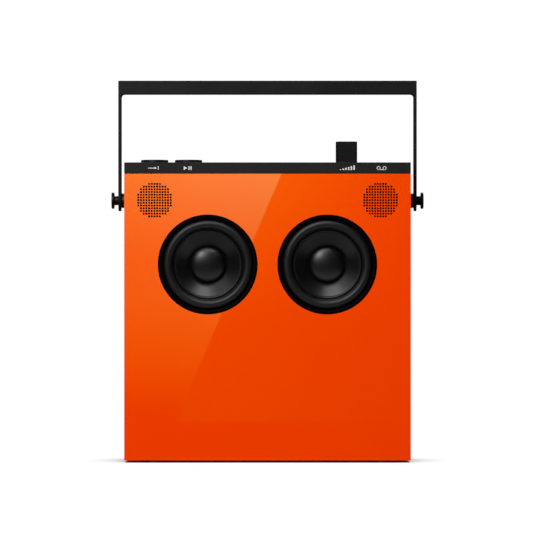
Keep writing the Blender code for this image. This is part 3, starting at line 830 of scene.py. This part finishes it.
def roll_profile(steps=18):
    """The surround's section, as (radius, height): a lip, a half-round roll and a lip, and back below."""
    at, lip = (SURROUND_INNER + SURROUND_OUTER) / 2, 0.0003
    reach = (SURROUND_OUTER - SURROUND_INNER) / 2 - lip
    angles = [math.pi * (1 - i / steps) for i in range(steps + 1)]
    roll = [(at + reach * math.cos(a), SURROUND_BASE + SURROUND_RISE * math.sin(a)) for a in angles]
    upper = [(SURROUND_INNER, SURROUND_BASE), *roll, (SURROUND_OUTER, SURROUND_BASE)]
    skin = 0.0005
    return upper + [(radius, height - skin) for radius, height in reversed(upper)]


def sector_form(profile, start, sweep, steps):
    """A closed profile turned through part of a circle, with flat ends."""
    form = bmesh.new()
    rings = []
    for i in range(steps + 1):
        angle = start + sweep * i / steps
        cos, sin = math.cos(angle), math.sin(angle)
        rings.append([form.verts.new((radius * cos, radius * sin, height)) for radius, height in profile])
    count = len(profile)
    for near, far in zip(rings, rings[1:]):
        for j in range(count):
            form.faces.new((near[j], near[(j + 1) % count], far[(j + 1) % count], far[j]))
    for end in (rings[0], rings[-1]):
        form.faces.new(end)
    bmesh.ops.recalc_face_normals(form, faces=form.faces)
    return form


def surround(side, origin):
    """The roll in twelve sectors, turned about the driver's axis."""
    profile = roll_profile()
    matrix = place_on(FORWARD, origin)
    sweep = FULL_TURN / SECTORS
    for k in range(SECTORS):
        start = k * sweep
        form = sector_form(profile, start, sweep, 16)
        mesh = bpy.data.meshes.new(f"surround_{side}_{k}")
        form.to_mesh(mesh)
        form.free()
        mesh.materials.append(SURROUND_RUBBER)
        mesh.shade_smooth()
        mesh.transform(matrix)
        set_turned_normals(mesh, matrix, profile)
        obj = placed(f"surround_{side}_{k}", mesh)
        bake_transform(obj)
        if k == 0:
            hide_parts(f"surround_{side}")


def set_turned_normals(mesh, matrix, profile):
    """Gives the turned faces their exact normals, so that the sectors meet without a seam."""
    count = len(profile)
    slopes = []
    for j in range(count):
        before, after = Vector(profile[j - 1]), Vector(profile[(j + 1) % count])
        along = (after - before).normalized()
        slopes.append((-along.y, along.x))
    rotation = matrix.to_3x3()
    back = matrix.inverted()
    normals = []
    for face in mesh.polygons:
        cap = len(face.vertices) > 4
        for vertex in face.vertices:
            if cap:
                normals.append(face.normal.copy())
                continue
            point = back @ mesh.vertices[vertex].co
            outward, up = slopes[vertex % count]
            angle = math.atan2(point.y, point.x)
            local = Vector((outward * math.cos(angle), outward * math.sin(angle), up))
            normal = (rotation @ local).normalized()
            normals.append(normal if normal.dot(face.normal) > 0 else -normal)
    mesh.normals_split_custom_set([tuple(n) for n in normals])


def woofer_moving(side, origin):
    body = f"woofer_{side}"
    front = [(0.0124, 0.0167), (0.0136, 0.0172, 0.0004), (0.0234, 0.0244, 0.0004), (0.0240, 0.0244, 0.0002)]
    rim = [(0.0243, 0.0247, 0.0002), (0.0249, 0.0248, 0.0002), (0.0253, 0.0244, 0.0002), (0.0253, 0.0238)]
    behind = [(0.0236, 0.0236), (0.0138, 0.0164, 0.0004), (0.0124, 0.0160)]
    cone = [*front, *rim, *behind]
    name, node = f"cone_{side}", f"woofer_cone_{side}"
    turned(name, cone, CONE_BLACK, body, [node], FORWARD, origin, 192, True)
    radius, base, rise, skin, steps = 0.0132, 0.0178, 0.0050, 0.0006, 20
    angles = [QUARTER * (1 - i / steps) for i in range(steps + 1)]
    outer = [(radius * math.cos(a), base + rise * math.sin(a)) for a in angles]
    inner = [((radius - skin) * math.cos(a), base + (rise - skin) * math.sin(a)) for a in angles]
    form = lathe_form(outer + inner[::-1], 128)
    matrix = place_on(FORWARD, origin)
    piece(f"cap_{side}", form, CONE_BLACK, body, [f"dust_cap_{side}"], matrix)


def drivers():
    for side in SIDES:
        at = middle(f"woofer_cone_{side}")
        origin = (at.x, 0, at.z)
        woofer_frame(side, origin)
        surround(side, origin)
        woofer_moving(side, origin)


# Handle


def handle():
    """A U of one piece with softened edges."""
    low, high = HANDLE_LOW, HANDLE_HIGH
    thickness, depth, fillet = 0.0020, high.y - low.y, 0.0024
    inner, underside = high.x - thickness, 0.2713
    bottom = low.z - 0.003
    inside = [(-inner, bottom), (-inner, underside, fillet), (inner, underside, fillet), (inner, bottom)]
    outside = [(high.x, bottom), (high.x, high.z, 0.0004), (low.x, high.z, 0.0004), (low.x, bottom)]
    outline = rounded([*inside, *outside], loop=True, steps=8)
    form = plate_form([outline], depth + 0.002, standing(0, 0, 0))
    half = depth / 2
    angles = [math.pi * (1 + i / 48) for i in range(49)]
    ends = [(half * math.cos(a), half * math.sin(a)) for a in angles]
    side_view = plate_form([[*ends, (half, 0.12), (-half, 0.12)]], 0.26, sideways(0, 0, PIVOT_Z))
    form = combined(form, "INTERSECT", side_view)
    form = combined(form, "DIFFERENCE", rod_form(0.0029, (-0.13, 0, PIVOT_Z), (0.13, 0, PIVOT_Z), 48))
    soften(form, 0.0002, 3, least=50)
    piece("handle_frame", form, HANDLE_BLACK, "handle", ["handle"], flat=X_AXIS)


def thumb_knobs():
    """A washer, and a round knob with a knurled rim on a stepped neck."""
    for side, sign in SIDES.items():
        outward = X_AXIS * sign
        origin = (0, 0, PIVOT_Z)
        low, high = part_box(f"spacer_washer_{side}")
        near, far = sorted((abs(low.x), abs(high.x)))
        washer = [(0.0029, far), (0.00545, far, 0.0003), (0.00545, near, 0.0003), (0.0029, near)]
        name, node = f"washer_{side}", f"spacer_washer_{side}"
        turned(name, washer, CONTROL_BLACK, BODY, [node], outward, origin, 72, True)
        low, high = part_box(f"thumb_knob_{side}")
        near, far = sorted((abs(low.x), abs(high.x)))
        stud, neck, disc = 0.0025, 0.0034, 0.0061
        shoulder, step = HANDLE_HIGH.x + CLEARANCE, 0.11345
        profile = [(0, far - 0.0003), (0.0036, far - 0.0003), (0.0042, far, 0.0002), (disc, far, 0.0006)]
        profile += [(disc, step, 0.0006), (neck, step, 0.0003), (neck, shoulder, 0.0002)]
        profile += [(stud, shoulder), (stud, near, 0.0005), (0, near)]
        form = lathe_form(rounded(profile), 96)
        knurl = (far + step) / 2
        for vertex in form.verts:
            radius = math.hypot(vertex.co.x, vertex.co.y)
            if radius > disc - 0.0001 and abs(vertex.co.z - knurl) < (far - step) / 2:
                angle = math.atan2(vertex.co.y, vertex.co.x)
                vertex.co.xy *= 1 - 0.012 * (0.5 + 0.5 * math.cos(angle * 48))
        name = f"thumb_knob_{side}"
        piece(name + "_head", form, HANDLE_BLACK, name, [name], place_on(outward, origin))


# Connectors


def connectors():
    """The small plate in the rear cover, the USB-C shell with its tongue, and the jack."""
    low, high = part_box("connector_plate")
    centre = (low + high) / 2
    width = high.x - low.x - 2 * PLATE_FLANGE
    jack, usb = middle("line_in_jack"), middle("usb_c_socket")
    inset = 0.0004
    outline = rounded_rectangle(width, PLATE_FACE, 0.0012)
    face = plate_form([outline], high.y - low.y - inset, standing(centre.x, centre.y + inset / 2, centre.z))
    back = block_form((low.x, low.y, low.z), (high.x, COVER_LOW.y - CLEARANCE, high.z))
    form = combined(face, "UNION", back)
    outline = rounded_rectangle(0.0098, 0.0040, 0.0019)
    usb_window = plate_form([outline], 0.02, standing(usb.x, high.y, usb.z))
    jack_window = bore_form(0.0034, jack, low.y - 0.01, high.y + 0.01)
    form = combined(form, "DIFFERENCE", usb_window, jack_window)
    soften(form, 0.0003, 2, least=60, keep=beyond(1, high.y - 0.0001))
    piece("connector_face", form, CONTROL_BLACK, BODY, ["connector_plate"], flat=Y_AXIS)

    low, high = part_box("usb_c_socket")
    length = high.y - low.y
    shell = plate_form([rounded_rectangle(0.0090, 0.0032, 0.0015)], length, standing(*usb))
    hollow = plate_form([rounded_rectangle(0.0083, 0.0025, 0.0012)], 0.016, standing(usb.x, high.y, usb.z))
    half, thin = 0.0033, 0.00035
    tongue = block_form((usb.x - half, 0.0195, usb.z - thin), (usb.x + half, 0.0268, usb.z + thin))
    form = combined(combined(shell, "DIFFERENCE", hollow), "UNION", tongue)
    piece("usb_c_shell", form, STEEL, BODY, ["usb_c_socket"], flat=Y_AXIS)

    low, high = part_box("line_in_jack")
    body = block_form(low, (high.x, 0.0235, high.z))
    collar = bore_form(0.0030, jack, 0.020, high.y)
    bore = bore_form(0.0018, jack, 0.018, 0.03)
    form = combined(combined(body, "UNION", collar), "DIFFERENCE", bore)
    soften(form, 0.00015, 2, least=60)
    piece("jack_body", form, CONTROL_BLACK, BODY, ["line_in_jack"], flat=Y_AXIS)


# CAD nodes that stay, with better materials


def hidden_parts():
    """Gives the inner pieces, whose CAD shapes stay, their materials."""
    cloth = woven("spider_cloth", (0.48, 0.33, 0.11), (0.62, 0.46, 0.20), 1400, 0.0001)
    silk = woven("silk_dome", (0.022, 0.022, 0.023), (0.045, 0.045, 0.047), 3500, 0.00004)
    finishes = {
        "circuit_board": circuit_board(),
        "battery_wrap": battery_wrap(),
        "ferrite": ferrite(),
        "coil_copper": copper_winding(),
        "spider_cloth": cloth,
        "silk_dome": silk,
        "gasket_foam": foam(),
        "tweeter_black": DARK_PLASTIC,
        "switch_black": satin_black("switch_black", (0.012, 0.012, 0.012), 0.45, 0.55),
        "steel": STEEL,
        "brass": BRASS,
    }
    for part in frame["record"]["subparts"]:
        obj = frame["nodes"][part["node"]]
        if obj.hide_render:
            continue
        obj.data.materials.clear()
        obj.data.materials.append(finishes[part["material_slot"]])


# Stage, lights and camera

CAMERA_DISTANCE = 2.5  # from the cabinet's front
CAMERA_HEIGHT = 0.14295
VIEW_WIDTH = 0.392  # what the picture holds at the cabinet's front
SENSOR = 36.0
CARD_DISTANCE = 2.7  # from the cabinet's front


def floor():
    """A white floor with a painted soft contact shadow, dim to every ray but the camera's."""
    reach = 30.0
    corners = [(-reach, -reach, 0), (reach, -reach, 0), (reach, reach, 0), (-reach, reach, 0)]
    mesh = bpy.data.meshes.new("floor")
    mesh.from_pydata(corners, [], [(0, 1, 2, 3)])
    mesh.materials.append(floor_painted_shadow())
    obj = placed("floor", mesh)
    obj.visible_glossy = False


def floor_painted_shadow():
    """Glows white to the camera where the object isn't near, and in front of it; near the object it shows a
    painted contact shadow, taken from ambient occlusion.
    """
    paint = Stage(bpy.data.materials.new("floor_painted_shadow"))
    reach = paint.node("ShaderNodeAmbientOcclusion")
    reach.samples = 16
    reach.inputs["Distance"].default_value = 0.06
    place = paint.node("ShaderNodeSeparateXYZ", paint.node("ShaderNodeTexCoord").outputs["Object"])
    # The painted shadow is left out in front of the cabinet.
    front = paint.span(place.outputs["Y"], BAFFLE_LOW.y - 0.001, BAFFLE_LOW.y - 0.006)
    open_sky = paint.node("ShaderNodeMath", reach.outputs["AO"], front)
    open_sky.operation = "MAXIMUM"
    # Painted contact shadow: the occlusion picks the shade, reddish towards the body as painted orange
    # bounce light.
    shadow = paint.ramp(
        open_sky.outputs["Value"],
        {
            0.00: (0.03, 0.003, 0.003),
            0.25: (0.10, 0.04, 0.04),
            0.45: (0.52, 0.43, 0.43),
            0.62: (0.83, 0.80, 0.80),
            0.82: (1.0, 1.0, 1.0),
        },
    )
    glow = paint.node("ShaderNodeEmission", shadow)
    bounce = paint.node("ShaderNodeBsdfDiffuse")
    bounce.inputs["Color"].default_value = (0.5, 0.5, 0.5, 1)
    seen = paint.node("ShaderNodeLightPath").outputs["Is Camera Ray"]
    paint.finish(paint.node("ShaderNodeMixShader", seen, bounce.outputs["BSDF"], glow.outputs["Emission"]))
    return paint.owner


class Stage:
    """The nodes of a bare material or world for the stage."""

    def __init__(self, owner, output="ShaderNodeOutputMaterial"):
        self.owner = owner
        owner.use_nodes = True
        self.tree = owner.node_tree
        self.tree.nodes.clear()
        self.output = self.tree.nodes.new(output)

    def node(self, kind, *sources):
        made = self.tree.nodes.new(kind)
        for source, socket in zip(sources, made.inputs):
            self.tree.links.new(source, socket)
        return made

    def span(self, source, start, end):
        """Runs from 0 to 1 while the source runs from start to end."""
        made = self.node("ShaderNodeMapRange", source)
        made.inputs["From Min"].default_value = start
        made.inputs["From Max"].default_value = end
        return made.outputs["Result"]

    def ramp(self, source, shades):
        made = self.node("ShaderNodeValToRGB", source)
        points = made.color_ramp.elements
        while len(points) < len(shades):
            points.new(0.5)
        for point, (place, shade) in zip(points, shades.items()):
            point.position = place
            point.color = (*shade, 1)
        return made.outputs["Color"]

    def glow(self, kind, strength):
        made = self.node(kind)
        made.inputs["Strength"].default_value = strength
        return made

    def finish(self, last):
        self.tree.links.new(last.outputs[0], self.output.inputs["Surface"])


def mirrored(x, z):
    """The place on the card that the camera sees mirrored at (x, z) of the cabinet's front."""
    scale = 1 + CARD_DISTANCE / CAMERA_DISTANCE
    return (x * scale, BAFFLE_LOW.y - CARD_DISTANCE, CAMERA_HEIGHT + (z - CAMERA_HEIGHT) * scale)


def mirrored_card(name, outline, down, across):
    """A dim panel that only the gloss paint mirrors, shaded from bottom to top and from left to right."""
    paint = Stage(bpy.data.materials.new(name))
    place = paint.node("ShaderNodeSeparateXYZ", paint.node("ShaderNodeTexCoord").outputs["Object"])
    left, right = mirrored(-0.105, 0), mirrored(0.105, 0.212)
    shades = []
    for axis, number, steps in (("Z", 2, down), ("X", 0, across)):
        shades.append(paint.ramp(paint.span(place.outputs[axis], left[number], right[number]), steps))
    both = paint.node("ShaderNodeVectorMath", *shades)
    both.operation = "MULTIPLY"
    glow = paint.node("ShaderNodeEmission", both.outputs["Vector"])
    glow.inputs["Strength"].default_value = 4.0
    paint.finish(glow)
    obj = reflector(name, [mirrored(x, z) for x, z in outline], paint.owner)
    obj.light_linking.receiver_collection = group(name, lambda part: ORANGE.name in part.data.materials)


def cards():
    """Two cards that meet at a slanting edge, which crosses the front: a brighter one and a faint one."""
    top, bottom, left, right = 0.2150, -0.002, -0.125, 0.125
    slope, crossing = 0.427, -0.0802  # the edge's x for each z, and its x at z = 0
    low_end, high_end = (crossing + slope * bottom, bottom), (crossing + slope * top, top)
    bright = {
        0.17: (0.0, 0.0, 0.0),
        0.25: (0.05, 0.10, 0.0),
        0.40: (0.20, 0.28, 0.01),
        0.56: (0.30, 0.42, 0.06),
        0.74: (0.30, 0.50, 0.10),
        1.00: (0.40, 1.00, 0.28),
    }
    bright_across = {0.0: (0.9, 0.80, 0.5), 0.25: (1.0, 0.95, 0.85), 0.5: (1.0, 1.03, 1.0)}
    mirrored_card("card_left", [(left, bottom), low_end, high_end, (left, top)], bright, bright_across)
    faint = {
        0.0: (0.04, 0.06, 0.0),
        0.45: (0.05, 0.07, 0.0),
        0.56: (0.06, 0.10, 0.0),
        0.74: (0.14, 0.20, 0.005),
        1.00: (0.25, 0.40, 0.01),
    }
    faint_across = {0.45: (1.0, 1.0, 1.0), 0.75: (0.45, 0.45, 0.45), 1.0: (0.1, 0.1, 0.1)}
    mirrored_card("card_right", [low_end, (right, bottom), (right, top), high_end], faint, faint_across)


def reflector(name, corners, material):
    """A glowing sheet that only shows where it is mirrored."""
    mesh = bpy.data.meshes.new(name)
    mesh.from_pydata(corners, [], [(0, 1, 2, 3)])
    mesh.materials.append(material)
    material.cycles.emission_sampling = "NONE"
    obj = placed(name, mesh)
    for kind in ("camera", "diffuse", "transmission", "volume_scatter", "shadow"):
        setattr(obj, "visible_" + kind, False)
    return obj


def group(name, accepts):
    """A collection of the pieces that something accepts."""
    made = bpy.data.collections.new(name)
    for part in bpy.context.scene.objects:
        if part.type == "MESH" and accepts(part):
            made.objects.link(part)
    return made


def driver_reflectors():
    """What only the drivers mirror: a bright table, and above it a lamp with a dimmer one beside it."""
    drivers = group("drivers", is_driver)
    table = Stage(bpy.data.materials.new("table_glow"))
    place = table.node("ShaderNodeSeparateXYZ", table.node("ShaderNodeTexCoord").outputs["Object"])
    near, far, half, height = -0.05, -0.65, 0.30, 0.002
    span = table.span(place.outputs["Y"], far, near)
    shades = {0.0: 0.05, 0.58: 0.5, 0.86: 1.0, 0.93: 0.30, 1.0: 0.12}
    grey = {at: (shade, shade, shade) for at, shade in shades.items()}
    table.finish(table.node("ShaderNodeEmission", table.ramp(span, grey)))
    corners = [(-half, near, height), (half, near, height), (half, far, height), (-half, far, height)]
    reflector("table_glow", corners, table.owner).light_linking.receiver_collection = drivers
    for name, left, right, strength in (("lamp_near", -0.08, 0.07, 5.6), ("lamp_left", -0.36, -0.08, 0.8)):
        lamp = Stage(bpy.data.materials.new(name))
        lamp.finish(lamp.glow("ShaderNodeEmission", strength))
        front, back, low, high = -0.20, -0.05, 0.36, 0.42
        corners = [(left, front, low), (right, front, low), (right, back, high), (left, back, high)]
        reflector(name, corners, lamp.owner).light_linking.receiver_collection = drivers


def is_driver(part):
    finishes = {CONE_BLACK.name, SURROUND_RUBBER.name, FRAME_BLACK.name}
    return not finishes.isdisjoint(part.data.materials.keys())


def softbox(name, place, size, power):
    """A rectangular lamp that faces the object's middle."""
    lamp = bpy.data.lights.new(name, "AREA")
    lamp.shape = "RECTANGLE"
    lamp.size, lamp.size_y = size
    lamp.energy = power
    obj = placed(name, lamp)
    obj.location = place
    obj.rotation_euler = (Vector((0, 0, 0.145)) - Vector(place)).to_track_quat("-Z", "Y").to_euler()
    obj.visible_camera = False
    return obj


def lights():
    overhead = softbox("overhead", (0.25, -0.46, 1.56), (0.70, 0.40), 17.7)
    overhead.visible_glossy = False
    softbox("upper_left", (-0.62, -1.20, 1.02), (0.55, 0.55), 16.9)
    softbox("back", (0, 1.9, 1.4), (1.6, 1.0), 15)


def world():
    """White to the camera, and nearly dark as a light."""
    sky = Stage(bpy.data.worlds.new("studio"), "ShaderNodeOutputWorld")
    bpy.context.scene.world = sky.owner
    lit, seen = sky.glow("ShaderNodeBackground", 0.03), sky.glow("ShaderNodeBackground", 1.0)
    for shade in (lit, seen):
        shade.inputs["Color"].default_value = (1, 1, 1, 1)
    is_seen = sky.node("ShaderNodeLightPath").outputs["Is Camera Ray"]
    sky.finish(sky.node("ShaderNodeMixShader", is_seen, lit.outputs[0], seen.outputs[0]))


def camera():
    data = bpy.data.cameras.new("camera")
    data.sensor_width = SENSOR
    data.lens = SENSOR * CAMERA_DISTANCE / VIEW_WIDTH
    data.clip_end = 100
    obj = placed("camera", data)
    obj.location = (0, BAFFLE_LOW.y - CAMERA_DISTANCE, CAMERA_HEIGHT)
    obj.rotation_euler = (QUARTER, 0, 0)
    bpy.context.scene.camera = obj


front_baffle()
cabinet_shell()
rear_cover()
rear_screws()
feet()
top_panel()
buttons()
volume_knob()
tape_dial()
labels()
drivers()
handle()
thumb_knobs()
connectors()
hidden_parts()
floor()
cards()
driver_reflectors()
lights()
world()
camera()
bpy.context.scene.view_settings.view_transform = "Standard"
